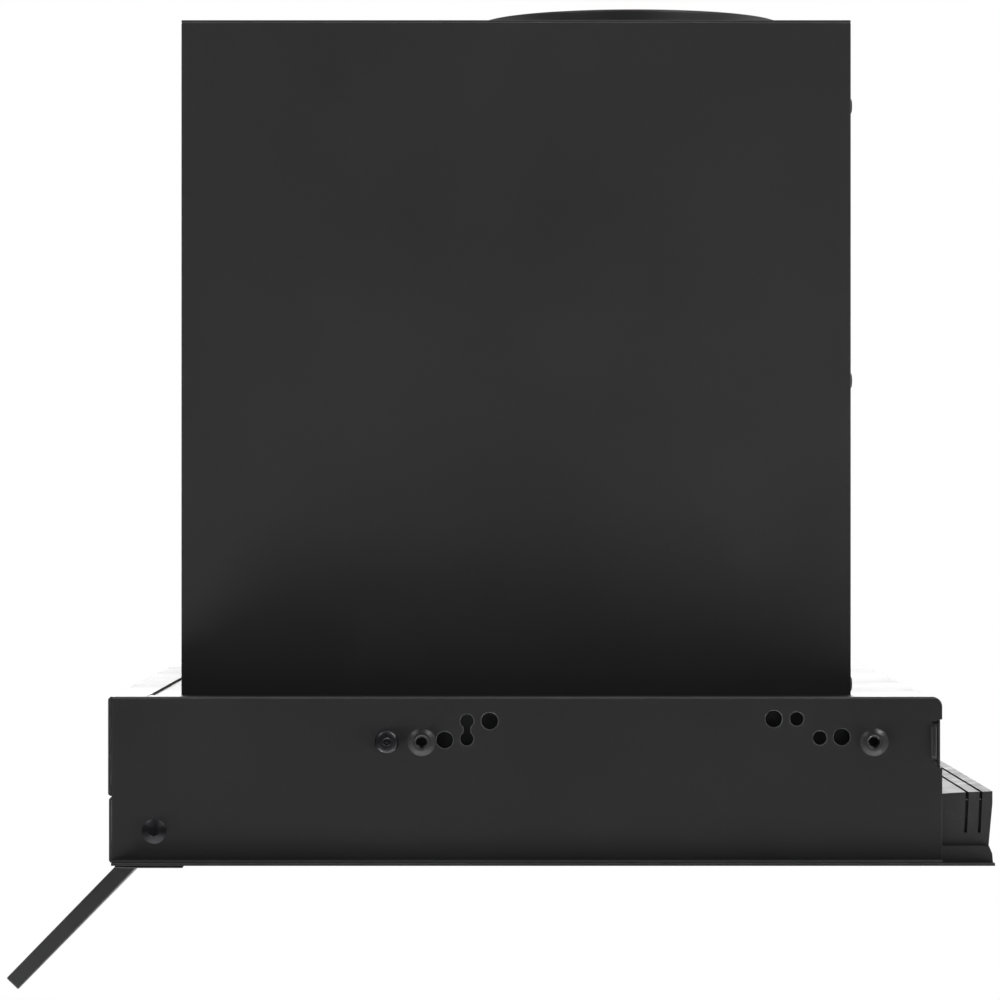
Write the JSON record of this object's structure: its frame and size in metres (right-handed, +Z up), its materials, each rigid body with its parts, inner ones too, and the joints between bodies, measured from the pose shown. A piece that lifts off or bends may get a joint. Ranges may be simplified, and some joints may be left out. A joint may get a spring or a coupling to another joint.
{
  "type": "cooker hood",
  "caption": "Built-in cooker hood: shallow canopy with fold-out visor, grease filters and push buttons under a tall motor housing with a round duct collar.",
  "frame": {"origin": "midway between the two side fixing pairs that hold the hood in its 600 mm gap", "axes": "+Z up, -Y towards the cook (the visor's side), +X to the cook's right; the width lies along X"},
  "size_m": [0.598, 0.3344, 0.3564],
  "materials": {
    "canopy_paint": "fine-textured black powder coat, semi-matt",
    "housing_paint": "smooth black powder coat, semi-matt",
    "visor_skin": "black anodised, satin",
    "black_plastic": "moulded black plastic, fine spark texture",
    "gloss_black": "moulded black plastic, gloss",
    "button_plastic": "moulded dark grey plastic, satin",
    "grey_plastic": "moulded grey plastic",
    "galvanised": "galvanised sheet, dull",
    "bright_steel": "ground steel",
    "black_steel": "black oxide fasteners",
    "filter_aluminium": "expanded aluminium mesh",
    "lamp_chrome": "polished ring",
    "lamp_glass": "frosted",
    "die_cast": "die-cast, as cast",
    "stator_steel": "laminated stack",
    "white_plastic": "moulded white plastic",
    "board_green": "solder mask",
    "indicator_red": "translucent red"
  },
  "bodies": {
    "hood": {"side_panel_left": "canopy_paint", "side_panel_right": "canopy_paint", "front_panel": "canopy_paint", "front_trim": "canopy_paint", "canopy_deck": "canopy_paint", "rear_panel": "canopy_paint", "underside_panel": "canopy_paint", "pivot_bracket_left": "black_steel", "pivot_bracket_right": "black_steel", "filter_hinge_ears": "black_steel", "hanger_brackets": "black_steel", "plenum_walls": "galvanised", "housing_wrap": "housing_paint", "housing_top": "housing_paint", "housing_back": "housing_paint", "duct_collar": "black_plastic", "damper_pin": "bright_steel", "scroll_casing_left": "grey_plastic", "scroll_casing_right": "grey_plastic", "motor_stator": "stator_steel", "motor_end_bell_inner": "die_cast", "motor_end_bell_outer": "die_cast", "motor_bracket": "galvanised", "capacitor": "white_plastic", "terminal_box": "black_plastic", "terminal_cover": "black_plastic", "cable_gland": "black_plastic", "led_driver": "white_plastic", "control_bezel": "gloss_black", "control_board": "board_green", "indicator_lens": "indicator_red", "lamp_bodies": "die_cast", "lamp_bezel_left": "lamp_chrome", "lamp_bezel_right": "lamp_chrome", "lamp_lens_left": "lamp_glass", "lamp_lens_right": "lamp_glass", "visor_pivot_screws": "black_steel", "rear_spacer": "black_plastic", "side_rivets": "black_steel", "back_rivets": "black_steel", "housing_screws": "black_steel"},
    "visor": {"visor_panel": "visor_skin", "visor_end_left": "black_plastic", "visor_end_right": "black_plastic"},
    "fan": {"impeller": "grey_plastic", "motor_shaft": "bright_steel"},
    "damper_front": {"damper_flap_front": "black_plastic"},
    "damper_rear": {"damper_flap_rear": "black_plastic"},
    "filter_left": {"filter_frame_left": "filter_aluminium", "filter_mesh_left": "filter_aluminium"},
    "filter_right": {"filter_frame_right": "filter_aluminium", "filter_mesh_right": "filter_aluminium"},
    "latch_left": {"filter_latch_left": "black_plastic"},
    "latch_right": {"filter_latch_right": "black_plastic"},
    "button_power_cap": {"button_power": "button_plastic"},
    "button_speed_1_cap": {"button_speed_1": "button_plastic"},
    "button_speed_2_cap": {"button_speed_2": "button_plastic"},
    "button_speed_3_cap": {"button_speed_3": "button_plastic"},
    "button_light_cap": {"button_light": "button_plastic"}
  },
  "joints": [
    {"name": "visor_hinge", "type": "hinge", "parent": "hood", "child": "visor", "pos_m": [0, -0.167, -0.0302], "axis": [1, 0, 0], "range_deg": [0, 134]},
    {"name": "fan_spin", "type": "hinge", "parent": "hood", "child": "fan", "pos_m": [0, -0.0565, 0.1243], "axis": [1, 0, 0], "continuous": true},
    {"name": "damper_front_hinge", "type": "hinge", "parent": "hood", "child": "damper_front", "pos_m": [0, 0.002, 0.2524], "axis": [1, 0, 0], "range_deg": [-75, 0]},
    {"name": "damper_rear_hinge", "type": "hinge", "parent": "hood", "child": "damper_rear", "pos_m": [0, 0.002, 0.2524], "axis": [1, 0, 0], "range_deg": [0, 75]},
    {"name": "filter_left_hinge", "type": "hinge", "parent": "hood", "child": "filter_left", "pos_m": [0, 0.0835, -0.0212], "axis": [1, 0, 0], "range_deg": [0, 60]},
    {"name": "latch_left_slide", "type": "slide", "parent": "filter_left", "child": "latch_left", "axis": [0, 1, 0], "range_m": [0, 0.004], "stiffness_N_per_m": 200},
    {"name": "filter_right_hinge", "type": "hinge", "parent": "hood", "child": "filter_right", "pos_m": [0, 0.0835, -0.0212], "axis": [1, 0, 0], "range_deg": [0, 60]},
    {"name": "latch_right_slide", "type": "slide", "parent": "filter_right", "child": "latch_right", "axis": [0, 1, 0], "range_m": [0, 0.004], "stiffness_N_per_m": 200},
    {"name": "button_power_press", "type": "slide", "parent": "hood", "child": "button_power_cap", "axis": [0, 0, 1], "range_m": [0, 0.0025], "stiffness_N_per_m": 400},
    {"name": "button_speed_1_press", "type": "slide", "parent": "hood", "child": "button_speed_1_cap", "axis": [0, 0, 1], "range_m": [0, 0.0025], "stiffness_N_per_m": 400},
    {"name": "button_speed_2_press", "type": "slide", "parent": "hood", "child": "button_speed_2_cap", "axis": [0, 0, 1], "range_m": [0, 0.0025], "stiffness_N_per_m": 400},
    {"name": "button_speed_3_press", "type": "slide", "parent": "hood", "child": "button_speed_3_cap", "axis": [0, 0, 1], "range_m": [0, 0.0025], "stiffness_N_per_m": 400},
    {"name": "button_light_press", "type": "slide", "parent": "hood", "child": "button_light_cap", "axis": [0, 0, 1], "range_m": [0, 0.0025], "stiffness_N_per_m": 400}
  ]
}
